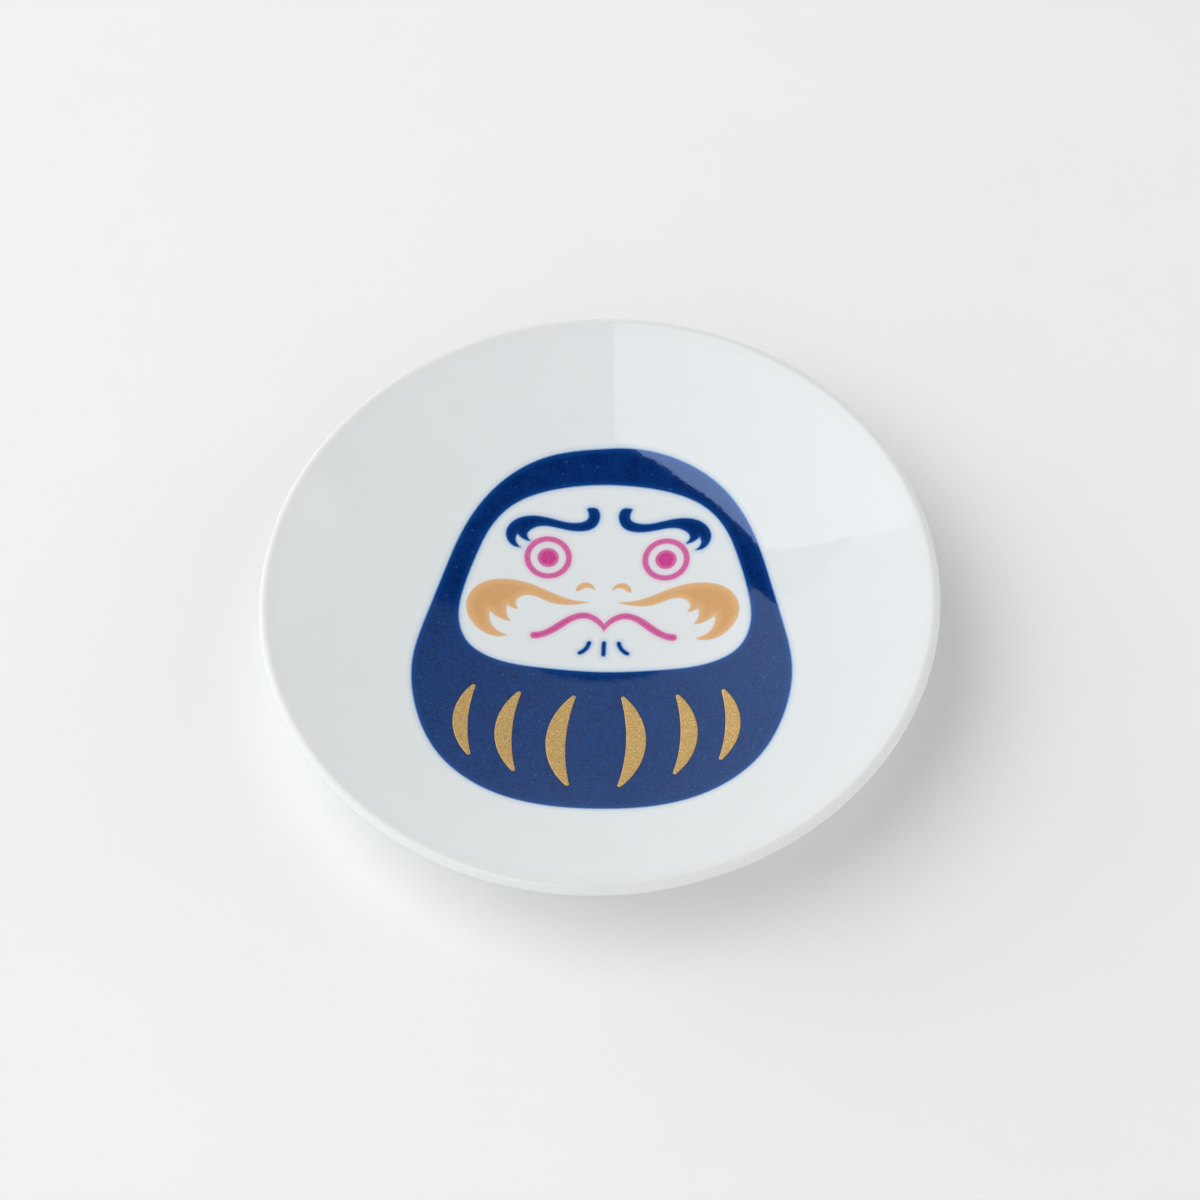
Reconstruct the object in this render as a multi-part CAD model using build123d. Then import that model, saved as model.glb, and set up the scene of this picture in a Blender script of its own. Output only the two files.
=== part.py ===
from build123d import *
import os
from math import sqrt

# A small round porcelain dish on a foot ring, with a daruma printed in its well.
# Millimetres. +Z is up, z = 0 is the table under the foot ring, the dish's axis is Z,
# and +Y points to the crown of the printed figure. "left" is the -X side.
# Each fired layer is its own solid: clay, clear glaze, colours sunk into the glaze, and gold on top.

# ---- the dish: sizes of the finished, glazed surface ----
DIAMETER = 100.0
HEIGHT = 17.0
LIP_RADIUS = 1.0            # the lip is a full round, so the wall there is twice this thick
WELL_RADIUS = 129.0         # the well is one shallow spherical bowl
UNDERSIDE_RADIUS = 101.0    # the underside is rounder, so the wall thickens towards the foot
GLAZE = 0.25                # thickness of the clear glaze on the clay

# ---- the foot ring ----
FOOT_OUTER = 27.0
FOOT_INNER = 24.0
BASE_HEIGHT = 4.0           # from the table up to the glazed base inside the ring
FOOT_OUTER_FILLET = 1.5
FOOT_INNER_FILLET = 2.0
FOOT_EDGE_FILLET = 0.6      # the wiped, bare edges that the dish stands on
GLAZE_LINE = 0.8            # the glaze is wiped off below this height

# ---- the colour layers ----
INK = 0.12                  # the colours have sunk this deep into the glaze and lie flush with it
GOLD = 0.08                 # the gold is fired on last and stands this proud of the blue

# each colour has its own screen, and each screen lies this far to the +X side of the dish's middle
COBALT_SHIFT = 0.6
PINK_SHIFT = 0.5
OCHRE_SHIFT = 0.2
GOLD_SHIFT = 0.2

# ---- the printed figure, seen from above; each list is the +X half or the +X one of a pair ----
ROBE_EDGE = [(0, 29.8), (10, 28), (16, 24), (21.4, 16), (24.1, 8), (26.3, 0), (27.8, -7.5),
             (26.7, -17), (22.8, -25), (14.9, -31), (0, -33.4)]
FACE_EDGE = [(0, 24.1), (8.6, 23), (14.7, 20), (17.8, 16), (19.4, 12), (21.1, 6), (21.6, 0),
             (19.9, -4), (16.9, -6), (9, -7.4), (0, -7.8)]

BROW = [
    [(3.4, 20.1), (2.6, 20.3), (1.85, 20.1)],
    [(1.85, 20.1), (1.45, 19.0), (2.15, 17.2), (4.3, 16.45), (8.2, 16.95), (10.8, 16.85), (12.2, 15.6),
     (11.6, 14.4)],
    [(11.6, 14.4), (12.7, 14.7), (13.6, 15.5)],
    [(13.6, 15.5), (13.9, 14.4), (13.1, 13.3)],
    [(13.1, 13.3), (14.7, 13.9), (15.3, 15.5), (14.5, 17.3), (12.5, 18.4), (8.4, 18.2), (5.0, 17.7),
     (3.35, 18.25), (3.4, 20.1)],
]
MOUSTACHE = [
    [(2.0, 4.6), (4.8, 4.0), (7.6, 4.2), (9.6, 5.0), (11.4, 5.3), (12.7, 4.6), (12.6, 2.8)],
    [(12.6, 2.8), (13.5, 3.0), (14.2, 3.5)],
    [(14.2, 3.5), (14.3, 2.0), (13.6, 0.6)],
    [(13.6, 0.6), (15.4, 1.1), (16.7, 2.2)],
    [(16.7, 2.2), (16.3, -0.4), (13.9, -1.9)],
    [(13.9, -1.9), (17.0, -1.9), (19.5, 0.4), (20.2, 3.0), (18.6, 6.3), (14.6, 7.7), (10.4, 7.0), (6.4, 5.3),
     (2.0, 4.6)],
]
MOUTH = [
    [(0, 0.65), (1.3, 2.04), (3.0, 2.65), (5, 2.1), (7.4, 0.35), (9.1, -0.8), (10.3, -1.1)],
    [(10.3, -1.1), (10.82, -1.65), (10.3, -2.2)],
    [(10.3, -2.2), (8.4, -1.56), (6, 0.14), (4.4, 1.34), (3, 1.7), (1.4, 1.08), (0, -0.5)],
    [(0, -0.5), (0, 0.65)],
]
NOSE_MARK = [
    [(1.3, 6.6), (2.8, 7.8), (4.1, 6.3)],
    [(4.1, 6.3), (3.5, 6.5)],
    [(3.5, 6.5), (2.7, 7.0), (1.3, 6.6)],
]

EYE_CENTRE = (8.8, 11.8)
EYE_RING_OUTER = 3.5
EYE_RING_INNER = 2.7
PUPIL_RADIUS = 1.55

CHIN_STROKE = 0.55
CHIN_CENTRE_LENGTH = 2.6
CHIN_CENTRE_Y = -3.6
CHIN_SIDE = [(2.2, -2.6), (2.6, -3.6), (3.5, -4.4)]

# each gold fold is a crescent: upper tip, outer bulge, lower tip, inner edge; from the middle outwards
GOLD_FOLDS = [
    [(3.06, -11.5), (7.3, -20), (3.26, -29.8), (4.4, -20)],
    [(11.06, -11.2), (14.8, -18.8), (11.16, -27.5), (12.3, -19)],
    [(17.76, -10.5), (21, -17.7), (17.76, -25.1), (18.8, -17.8)],
]
GOLD_TIP_RADIUS = 0.3       # the thick gold paste rounds each tip off

# ---- worked out from the sizes above ----
LIP_R = DIAMETER / 2 - LIP_RADIUS
LIP_Z = HEIGHT - LIP_RADIUS


def axis_height(distance_to_lip):
    """Height of the point on the dish's axis that lies this far from the lip's centre line."""
    return LIP_Z + sqrt(distance_to_lip**2 - LIP_R**2)


WELL_CENTRE_Z = axis_height(WELL_RADIUS + LIP_RADIUS)
UNDERSIDE_CENTRE_Z = axis_height(UNDERSIDE_RADIUS - LIP_RADIUS)
WELL_FLOOR_Z = WELL_CENTRE_Z - WELL_RADIUS


def from_lip(centre_z, distance, full_distance):
    """The point this far from (0, centre_z) towards the lip's centre, which is full_distance away."""
    share = distance / full_distance
    return (LIP_R * share, centre_z + (LIP_Z - centre_z) * share)


def below(centre_z, radius, r):
    """Height of a circle's lower side at radius r from the axis, for a circle centred on the axis."""
    return centre_z - sqrt(radius**2 - r**2)


def filleted(face, corners):
    """Rounds a section's corners, given as (r, z, radius)."""
    for r, z, radius in corners:
        corner = face.vertices().sort_by_distance((r, 0, z))[0]
        face = fillet(corner, radius)
    return face


def dish_section(depth):
    """Half the dish's section, with its surface this deep below the glaze's own surface."""
    lip = LIP_RADIUS - depth
    well = WELL_RADIUS + depth
    under = UNDERSIDE_RADIUS - depth
    foot_outer = FOOT_OUTER - depth
    foot_inner = FOOT_INNER + depth
    base = BASE_HEIGHT + depth

    well_floor = (0, WELL_FLOOR_Z - depth)
    well_mid = (LIP_R / 2, below(WELL_CENTRE_Z, well, LIP_R / 2))
    well_end = from_lip(WELL_CENTRE_Z, well, well + lip)
    under_end = from_lip(UNDERSIDE_CENTRE_Z, under, under - lip)
    under_mid_r = (LIP_R + FOOT_OUTER) / 2
    under_mid = (under_mid_r, below(UNDERSIDE_CENTRE_Z, under, under_mid_r))
    foot_top = (foot_outer, below(UNDERSIDE_CENTRE_Z, under, foot_outer))

    outline = Line((0, base), well_floor)
    outline += ThreePointArc(well_floor, well_mid, well_end)
    outline += ThreePointArc(well_end, (LIP_R + lip, LIP_Z), under_end)
    outline += ThreePointArc(under_end, under_mid, foot_top)
    outline += Polyline(foot_top, (foot_outer, 0), (foot_inner, 0), (foot_inner, base), (0, base))
    face = Plane.XZ * make_face(outline)

    return filleted(face, [
        (foot_outer, foot_top[1], FOOT_OUTER_FILLET + depth),
        (foot_inner, base, FOOT_INNER_FILLET + depth),
        (foot_outer, 0, FOOT_EDGE_FILLET),
        (foot_inner, 0, FOOT_EDGE_FILLET),
    ])


def porcelain_body():
    """The fired clay, bare only on the edge of the foot ring."""
    return revolve(dish_section(GLAZE), Axis.Z)


def glaze_coats():
    """The clear glaze: a coat over the well, lip and underside, and a separate one inside the foot ring."""
    wiped = Plane.XZ * Pos(DIAMETER / 2, GLAZE_LINE / 2) * Rectangle(DIAMETER, GLAZE_LINE)
    coats = dish_section(0) - dish_section(GLAZE) - wiped
    base_coat, main_coat = sorted(coats.faces(), key=lambda face: face.bounding_box().max.X)
    return revolve(main_coat, Axis.Z), revolve(base_coat, Axis.Z)


def shell(inner_radius, thickness):
    """A thin hollow ball about the well's centre, with its poles to the sides, clear of the dish."""
    ball = Sphere(inner_radius + thickness, rotation=(90, 0, 0)) - Sphere(inner_radius, rotation=(90, 0, 0))
    return Pos(0, 0, WELL_CENTRE_Z) * ball


def laid_in_well(plans, shift, layer):
    """For each flat plan outline, moved to the +X side, the part of a thin layer that lies under it."""
    return {node: extrude(Pos(shift, 0) * plan, HEIGHT) & layer for node, plan in plans.items()}


def stroke_edge(points):
    """A straight line, an arc or a smooth curve through two, three or more points."""
    if len(points) == 2:
        return Line(*points)
    if len(points) == 3:
        return ThreePointArc(*points)
    return Spline(*points)


def drawn(strokes):
    """A flat shape whose outline is a chain of strokes that meet at its tips and notches."""
    outline = Curve() + [stroke_edge(points) for points in strokes]
    return make_face(outline)


def drawn_both_sides(edge):
    """A flat shape with one smooth outline that is the same on both sides of the Y axis."""
    left = [(-x, y) for x, y in edge[-2:0:-1]]
    return make_face(Curve() + Spline(*edge, *left, periodic=True))


def mirrored(plan):
    return mirror(plan, Plane.YZ)


def pair(name, right_plan):
    """A plan outline and its mirror image, by node name."""
    return {name + "_right": right_plan, name + "_left": mirrored(right_plan)}


def cobalt_plans():
    """The robe with the opening for the face, the two brows and the three marks on the chin."""
    return {
        "robe_blue": drawn_both_sides(ROBE_EDGE) - drawn_both_sides(FACE_EDGE),
        "chin_mark_centre": Pos(0, CHIN_CENTRE_Y) * SlotOverall(CHIN_CENTRE_LENGTH, CHIN_STROKE, rotation=90),
        **pair("chin_mark", SlotArc(ThreePointArc(*CHIN_SIDE), CHIN_STROKE)),
        **pair("brow", drawn(BROW)),
    }


def pink_plans():
    """The eyes' rings and pupils, and the mouth."""
    ring = Circle(EYE_RING_OUTER) - Circle(EYE_RING_INNER)
    mouth_half = drawn(MOUTH)
    return {
        "mouth_line": mouth_half + mirrored(mouth_half),
        **pair("eye_ring", Pos(*EYE_CENTRE) * ring),
        **pair("pupil", Pos(*EYE_CENTRE) * Circle(PUPIL_RADIUS)),
    }


def ochre_plans():
    """The moustache and the two marks of the nose."""
    return {**pair("moustache", drawn(MOUSTACHE)), **pair("nose_mark", drawn(NOSE_MARK))}


def crescent(upper, bulge, lower, inner):
    """Two arcs between two tips, with each tip rounded."""
    plan = drawn([[upper, bulge, lower], [lower, inner, upper]])
    return fillet(plan.vertices(), GOLD_TIP_RADIUS)


def gold_plans():
    """The six gold folds of the robe, numbered from left to right."""
    right = [crescent(*points) for points in GOLD_FOLDS]
    left = [mirrored(plan) for plan in reversed(right)]
    return {f"gold_fold_{number}": plan for number, plan in enumerate(left + right, start=1)}


def make_parts():
    ink_layer = shell(WELL_RADIUS, INK)
    gold_layer = shell(WELL_RADIUS - GOLD, GOLD)
    prints = {
        **laid_in_well(cobalt_plans(), COBALT_SHIFT, ink_layer),
        **laid_in_well(pink_plans(), PINK_SHIFT, ink_layer),
        **laid_in_well(ochre_plans(), OCHRE_SHIFT, ink_layer),
    }

    main_coat, base_coat = glaze_coats()
    for piece in prints.values():
        main_coat -= piece

    return {
        "porcelain_body": porcelain_body(),
        "glaze_coat_main": main_coat,
        "glaze_coat_base": base_coat,
        **prints,
        **laid_in_well(gold_plans(), GOLD_SHIFT, gold_layer),
    }


os.makedirs("parts", exist_ok=True)
for node, shape in make_parts().items():
    export_step(shape, f"parts/{node}.step")
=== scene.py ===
# %% [markdown]
# # A small porcelain dish with a daruma printed in its well
# The dish is pressed from white porcelain clay, fired, dipped in clear glaze and fired again.
# Its figure is printed in four colours: cobalt, pink and ochre, which sink into the glaze,
# and a matt gold, which is fired on last and stays on top.
# The measured model comes first. It gives the box of the whole dish and the outline of every
# printed mark, and each piece below is a finer surface that takes the place of one of its solids.

# %% Load the measured model
from math import atan2, cos, pi, radians, sin, sqrt, tan

import bpy
import numpy as np
from mathutils import Matrix, Vector


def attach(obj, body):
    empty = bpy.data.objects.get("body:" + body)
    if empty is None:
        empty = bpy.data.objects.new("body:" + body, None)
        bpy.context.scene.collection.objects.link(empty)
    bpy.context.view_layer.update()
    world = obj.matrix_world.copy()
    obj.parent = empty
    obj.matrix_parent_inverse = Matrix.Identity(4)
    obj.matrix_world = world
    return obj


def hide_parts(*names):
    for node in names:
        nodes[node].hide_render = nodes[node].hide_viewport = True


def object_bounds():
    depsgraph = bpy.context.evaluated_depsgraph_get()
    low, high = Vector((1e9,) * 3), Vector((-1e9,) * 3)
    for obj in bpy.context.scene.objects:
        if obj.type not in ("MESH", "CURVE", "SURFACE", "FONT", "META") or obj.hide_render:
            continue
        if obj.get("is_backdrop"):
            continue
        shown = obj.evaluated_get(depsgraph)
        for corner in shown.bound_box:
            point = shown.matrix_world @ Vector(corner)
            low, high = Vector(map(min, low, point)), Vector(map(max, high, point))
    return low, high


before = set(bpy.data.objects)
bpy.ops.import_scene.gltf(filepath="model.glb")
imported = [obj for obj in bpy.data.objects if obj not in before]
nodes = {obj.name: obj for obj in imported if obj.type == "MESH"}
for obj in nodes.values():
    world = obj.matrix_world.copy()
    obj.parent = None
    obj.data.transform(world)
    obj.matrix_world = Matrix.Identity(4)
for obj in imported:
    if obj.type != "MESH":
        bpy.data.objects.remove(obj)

MM = 0.001
cad_box = [[float(x) for x in corner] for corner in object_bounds()]
print("solids in the measured model:", len(nodes))
print("box in mm:", [[round(x / MM, 2) for x in corner] for corner in cad_box])

# %% [markdown]
# ## Two small tools
# Artists write colours as hex codes, which are coded for a screen, while light is added up in
# linear numbers. One function turns the first into the second.
# Every material is a small tree of nodes. One function adds a node, sets its properties, and
# fills its sockets, either with a number or with a link from an earlier node.


# %% A colour, a node and a pattern's size
def colour(code):
    """Linear red, green, blue, 1 from an sRGB hex code: ((c + 0.055) / 1.055) ** 2.4."""
    coded = np.array([int(code[i:i + 2], 16) for i in (1, 3, 5)]) / 255
    linear = np.where(coded <= 0.04045, coded / 12.92, ((coded + 0.055) / 1.055) ** 2.4)
    return (*linear.tolist(), 1.0)


def add_node(tree, kind, inputs=None, **settings):
    """Adds one node. Each input is a plain value, or the output socket that it's linked from."""
    node = tree.nodes.new("ShaderNode" + kind)
    for name, value in settings.items():
        setattr(node, name, value)
    for name, value in (inputs or {}).items():
        if isinstance(value, bpy.types.NodeSocket):
            tree.links.new(value, node.inputs[name])
        else:
            node.inputs[name].default_value = value
    return node


def per(size):
    """The Scale of a pattern whose grains are this many millimetres: grains in one metre."""
    return 1 / (size * MM)


# the colour sockets of a Mix node
MIX_A, MIX_B, MIX_OUT = 6, 7, 2
print("white in linear light:", colour("#ffffff"))

# %% [markdown]
# ## The camera
# A long lens from three quarters of a metre looks down at the dish, from the front and a
# little to the right, and is held slightly askew. The axes are built by hand: one points from
# the dish back to the camera, one to the right and one up, and the last two are then rolled.

# %% Camera
DISH_HEIGHT = cad_box[1][2]
CAMERA_AZIMUTH = radians(4.84)
CAMERA_ELEVATION = radians(57.346)
CAMERA_ROLL = radians(-2.949)
CAMERA_DISTANCE = 750 * MM
CAMERA_LENS, SENSOR_WIDTH = 153.58, 36
AIM_RIGHT, AIM_UP = 0.176 * MM, -0.96 * MM

back = Vector((sin(CAMERA_AZIMUTH) * cos(CAMERA_ELEVATION),
               -cos(CAMERA_AZIMUTH) * cos(CAMERA_ELEVATION),
               sin(CAMERA_ELEVATION)))
level_right = Vector((cos(CAMERA_AZIMUTH), sin(CAMERA_AZIMUTH), 0))
level_up = back.cross(level_right)
right = level_right * cos(CAMERA_ROLL) + level_up * sin(CAMERA_ROLL)
up = level_up * cos(CAMERA_ROLL) - level_right * sin(CAMERA_ROLL)
aim = Vector((0, 0, DISH_HEIGHT)) + right * AIM_RIGHT + up * AIM_UP

camera = bpy.data.objects.new("camera", bpy.data.cameras.new("camera"))
camera.data.lens = CAMERA_LENS
camera.data.sensor_width = SENSOR_WIDTH
camera.data.clip_start = 0.01
camera.matrix_world = Matrix.Translation(aim + back * CAMERA_DISTANCE) @ Matrix(
    [right, up, back]).transposed().to_4x4()
bpy.context.collection.objects.link(camera)
bpy.context.scene.camera = camera
bpy.context.scene.view_settings.view_transform = "Standard"
print("camera at, in mm:", [round(x / MM) for x in camera.matrix_world.translation])

# %% [markdown]
# ## The softbox
# One big eight-sided softbox hangs high on the left and faces the dish. It gives about half of
# the light, the soft shadow on the right, and the large pale patch with crisp edges that the
# glaze mirrors. An area lamp can't have eight sides, so it is a flat glowing mesh.

# %% Softbox
SOFTBOX_DISTANCE = 1.5
SOFTBOX_DIRECTION = Vector((-0.4831, -0.0566, 0.8737))
SOFTBOX_INRADIUS = 0.4885 * SOFTBOX_DISTANCE
SOFTBOX_LEAN = 0.035 * SOFTBOX_DISTANCE    # a corner is pulled this far out of true
SOFTBOX_ACROSS = Vector((0.8745, 0.0169, 0.4847))
SOFTBOX_ALONG = Vector((-0.0422, 0.9983, 0.0413))
SOFTBOX_GLOW = 2.32
SOFTBOX_SAG = 0.032 * SOFTBOX_DISTANCE     # the cloth pulls in between ribs on the slanted sides
SOFTBOX_SIDES = 8
SIDE_STEPS = 9


def softbox_outline(count):
    """Corners round a circle joined by sides of s from 0 to 1; each slanted side is bowed inwards
    by a parabola, 4 * sag * s * (1 - s). The corner at the back is pulled sideways by the whole
    lean, and the one before it is pulled forwards by a third of it."""
    half_side = SOFTBOX_INRADIUS * tan(pi / SOFTBOX_SIDES)
    turn = np.arange(SOFTBOX_SIDES) * 2 * pi / SOFTBOX_SIDES
    corners = np.column_stack([SOFTBOX_INRADIUS * np.cos(turn) + half_side * np.sin(turn),
                               SOFTBOX_INRADIUS * np.sin(turn) - half_side * np.cos(turn)])
    corners[1, 1] -= SOFTBOX_LEAN / 3
    corners[2, 0] -= SOFTBOX_LEAN
    side, s = np.meshgrid(np.arange(SOFTBOX_SIDES), np.linspace(0, 1, count, endpoint=False),
                          indexing="ij")
    side, s = side.reshape(-1, 1), s.reshape(-1, 1)
    inwards = -np.column_stack([np.cos(turn), np.sin(turn)])[side[:, 0]]
    flat = (corners[side[:, 0]] * (1 - s) + corners[(side[:, 0] + 1) % SOFTBOX_SIDES] * s
            + inwards * 4 * SOFTBOX_SAG * (side % 2) * s * (1 - s))
    return (flat[:, :1] * np.array(SOFTBOX_ACROSS) + flat[:, 1:] * np.array(SOFTBOX_ALONG)
            + np.array(SOFTBOX_DIRECTION) * SOFTBOX_DISTANCE)


softbox_rim = softbox_outline(SIDE_STEPS)
rim_count = len(softbox_rim)
softbox_mesh = bpy.data.meshes.new("softbox")
softbox_mesh.from_pydata([*softbox_rim, softbox_rim.mean(0)], [],
                         [(i, (i - 1) % rim_count, rim_count) for i in range(rim_count)])
softbox = bpy.data.objects.new("softbox", softbox_mesh)
softbox.visible_camera = False
bpy.context.collection.objects.link(softbox)
softbox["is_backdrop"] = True

fabric = bpy.data.materials.new("softbox_fabric")
fabric.use_nodes = True
fabric.node_tree.nodes.clear()
glow = add_node(fabric.node_tree, "Emission", {"Color": colour("#f8faff"), "Strength": SOFTBOX_GLOW})
add_node(fabric.node_tree, "OutputMaterial", {"Surface": glow.outputs[0]})
softbox_mesh.materials.append(fabric)
print("softbox across flats, in m:", round(2 * SOFTBOX_INRADIUS, 2))

# %% [markdown]
# ## The room
# Pale walls round the table give the other half of the light. They are brightest on the left,
# dimmest at the back just right of the middle, and end at a dark ceiling. The glaze mirrors
# that edge across the figure, so the walls' height is part of the look: it is highest at the
# sides, and steps down at a corner on the left. Nothing of the room has a shape, so the
# world's shader paints it from the direction alone. Side is the sine of the turn from the
# back wall, from -1 at the left to 1 at the right, and a cotangent is level distance over
# height. To the camera's own rays the world is a plain pale backdrop.

# %% Room light
ROOM_BACK = 0.4             # the back wall, where white paper in full light is 1
ROOM_LEFT_SLOPE = 1.0       # how fast the back wall brightens towards the left
ROOM_RIGHT_DIP = 0.5        # and how fast it darkens towards the right
ROOM_LEFT_START = 0.12
ROOM_LEFT_MOST = 1.2
ROOM_RIGHT_MOST = 0.75      # what the right wall has over the back wall
ROOM_RIGHT_FROM, ROOM_RIGHT_TO = 0.4, 0.95
ROOM_FRONT = 0.8
ROOM_FRONT_FROM, ROOM_FRONT_TO = 0.25, -0.4
ROOM_FOOT = 1.65            # the foot of the wall is this much brighter than its top
ROOM_FOOT_FROM, ROOM_FOOT_TO = 1.25, 2.6
CEILING_GLOW = 0.04
WALL_TOP = 0.845            # cotangent of the wall's top edge as the dish sees it, at the back
WALL_TOP_BEND = 0.95        # the cotangent falls with the square of the way from the middle
WALL_TOP_MIDDLE = -0.12
WALL_CORNER = 0.568         # here, on the left, the top edge steps down
WALL_CORNER_SOFT = 0.008
EDGE_BEFORE_CORNER, EDGE_PAST_CORNER = 0.66, 0.78       # the least cotangents on its two sides
WALL_TOP_SOFT = 0.035

world = bpy.data.worlds.new("studio")
bpy.context.scene.world = world
world.use_nodes = True
room = world.node_tree
room.nodes.clear()
to_sky = add_node(room, "SeparateXYZ", {0: add_node(room, "TexCoord").outputs["Generated"]})
x, y, z = to_sky.outputs
flat = add_node(room, "Math", {0: add_node(room, "Math", {0: x, 1: x}, operation="MULTIPLY").outputs[0],
                               1: add_node(room, "Math", {0: y, 1: y}, operation="MULTIPLY").outputs[0]},
                operation="ADD")
flat = add_node(room, "Math", {0: flat.outputs[0], 1: 0.5}, operation="POWER")
side = add_node(room, "Math", {0: x, 1: flat.outputs[0]}, operation="DIVIDE")
above = add_node(room, "Math", {0: z, 1: 0.02}, operation="MAXIMUM")
cotangent = add_node(room, "Math", {0: flat.outputs[0], 1: above.outputs[0]}, operation="DIVIDE")

off_middle = add_node(room, "Math", {0: side.outputs[0], 1: -WALL_TOP_MIDDLE}, operation="ADD")
bend = add_node(room, "Math", {0: off_middle.outputs[0], 1: off_middle.outputs[0]}, operation="MULTIPLY")
edge = add_node(room, "Math", {0: bend.outputs[0], 1: -WALL_TOP_BEND, 2: WALL_TOP},
                operation="MULTIPLY_ADD")
corner = add_node(room, "MapRange", {"Value": side.outputs[0],
                                     "From Min": WALL_CORNER_SOFT / 2 - WALL_CORNER,
                                     "From Max": -WALL_CORNER_SOFT / 2 - WALL_CORNER,
                                     "To Min": EDGE_BEFORE_CORNER, "To Max": EDGE_PAST_CORNER})
edge = add_node(room, "Math", {0: edge.outputs[0], 1: corner.outputs[0]}, operation="MAXIMUM")
below_edge = add_node(room, "Math", {0: cotangent.outputs[0], 1: edge.outputs[0]}, operation="SUBTRACT")
on_wall = add_node(room, "MapRange", {"Value": below_edge.outputs[0], "From Min": -WALL_TOP_SOFT / 2,
                                      "From Max": WALL_TOP_SOFT / 2}, interpolation_type="SMOOTHSTEP")

left = add_node(room, "Math", {0: side.outputs[0], 1: -ROOM_LEFT_SLOPE,
                               2: -ROOM_LEFT_START * ROOM_LEFT_SLOPE}, operation="MULTIPLY_ADD")
left = add_node(room, "Clamp", {"Value": left.outputs[0], "Max": ROOM_LEFT_MOST})
right_side = add_node(room, "MapRange", {"Value": side.outputs[0], "From Min": ROOM_RIGHT_FROM,
                                         "From Max": ROOM_RIGHT_TO, "To Max": ROOM_RIGHT_MOST},
                      interpolation_type="SMOOTHSTEP")
dip = add_node(room, "Clamp", {"Value": side.outputs[0], "Max": 0.5})
lit = add_node(room, "Math", {0: dip.outputs[0], 1: -ROOM_RIGHT_DIP, 2: ROOM_BACK},
               operation="MULTIPLY_ADD")
lit = add_node(room, "Math", {0: lit.outputs[0], 1: left.outputs[0]}, operation="ADD")
lit = add_node(room, "Math", {0: lit.outputs[0], 1: right_side.outputs[0]}, operation="ADD")
foot = add_node(room, "MapRange", {"Value": cotangent.outputs[0], "From Min": ROOM_FOOT_FROM,
                                   "From Max": ROOM_FOOT_TO, "To Min": 1.0, "To Max": ROOM_FOOT},
                interpolation_type="SMOOTHSTEP")
lit = add_node(room, "Math", {0: lit.outputs[0], 1: foot.outputs[0]}, operation="MULTIPLY")
to_front = add_node(room, "MapRange", {"Value": y, "From Min": ROOM_FRONT_FROM,
                                       "From Max": ROOM_FRONT_TO},
                    interpolation_type="SMOOTHSTEP")
lit = add_node(room, "Mix", {0: to_front.outputs[0], 2: lit.outputs[0], 3: ROOM_FRONT},
               data_type="FLOAT")
lit = add_node(room, "Math", {0: lit.outputs[0], 1: on_wall.outputs[0], 2: CEILING_GLOW},
               operation="MULTIPLY_ADD")
walls = add_node(room, "Background", {"Color": colour("#fffef9"), "Strength": lit.outputs[0]})
backdrop = add_node(room, "Background", {"Color": colour("#f1f1f2"), "Strength": 1.0})
seen = add_node(room, "MixShader", {0: add_node(room, "LightPath").outputs["Is Camera Ray"],
                                    1: walls.outputs[0], 2: backdrop.outputs[0]})
add_node(room, "OutputWorld", {"Surface": seen.outputs[0]})
print("nodes that paint the room:", len(room.nodes))

# %% [markdown]
# ## The table top
# The dish stands on a wide sheet of matt white board. Paper fibres give it a faint, cloudy
# unevenness. Its underside lets the view through, and it has a round hole where the foot ring
# hides it, so that the dish can be looked at from below with some light on its base.

# %% Table top
TABLE_RADIUS = 4.0
TABLE_HOLE = 26.2 * MM
TABLE_DROP = 0.02 * MM
TABLE_SIDES = 96

round_table = np.arange(TABLE_SIDES) * 2 * pi / TABLE_SIDES
table_rings = [np.column_stack([radius * np.cos(round_table), radius * np.sin(round_table),
                                np.full(TABLE_SIDES, -TABLE_DROP)])
               for radius in (TABLE_HOLE, TABLE_RADIUS)]
at_hole = np.arange(TABLE_SIDES)
at_rim = at_hole + TABLE_SIDES
table_faces = np.column_stack([at_hole, at_rim, np.roll(at_rim, -1), np.roll(at_hole, -1)])
table_mesh = bpy.data.meshes.new("table_top")
table_mesh.from_pydata(np.concatenate(table_rings), [], table_faces.tolist())
table = bpy.data.objects.new("table_top", table_mesh)
bpy.context.collection.objects.link(table)
table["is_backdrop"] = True

board = bpy.data.materials.new("white_board")
board.use_nodes = True
tree = board.node_tree
tree.nodes.clear()
place = add_node(tree, "TexCoord").outputs["Object"]
cloud = add_node(tree, "TexNoise", {"Vector": place, "Scale": per(25), "Detail": 3.0})
tone = add_node(tree, "Mix", {0: cloud.outputs[0], MIX_A: colour("#f7f7f7"), MIX_B: colour("#fafafa")},
                data_type="RGBA")
paper = add_node(tree, "BsdfPrincipled", {"Base Color": tone.outputs[MIX_OUT], "Roughness": 0.9,
                                          "Specular IOR Level": 0.1})
clear = add_node(tree, "BsdfTransparent")
facing = add_node(tree, "NewGeometry").outputs["Backfacing"]
one_way = add_node(tree, "MixShader", {0: facing, 1: paper.outputs[0], 2: clear.outputs[0]})
add_node(tree, "OutputMaterial", {"Surface": one_way.outputs[0]})
table_mesh.materials.append(board)
print("table top, in m:", 2 * TABLE_RADIUS)

# %% [markdown]
# ## The dish's section
# The dish is round, so all of its shape is in one line: the section from its middle out over
# the lip and back under to the foot. The potter's jigger arm cuts just that line.
# It is a chain of arcs that meet smoothly, so it is worked out from centres and radii, with
# no measured points: a shallow ball for the well, a full round for the lip, a smaller ball
# for the underside and a hollow fillet where the foot ring starts.
# The same function, asked for a line a little deeper, gives the clay under the glaze.

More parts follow.
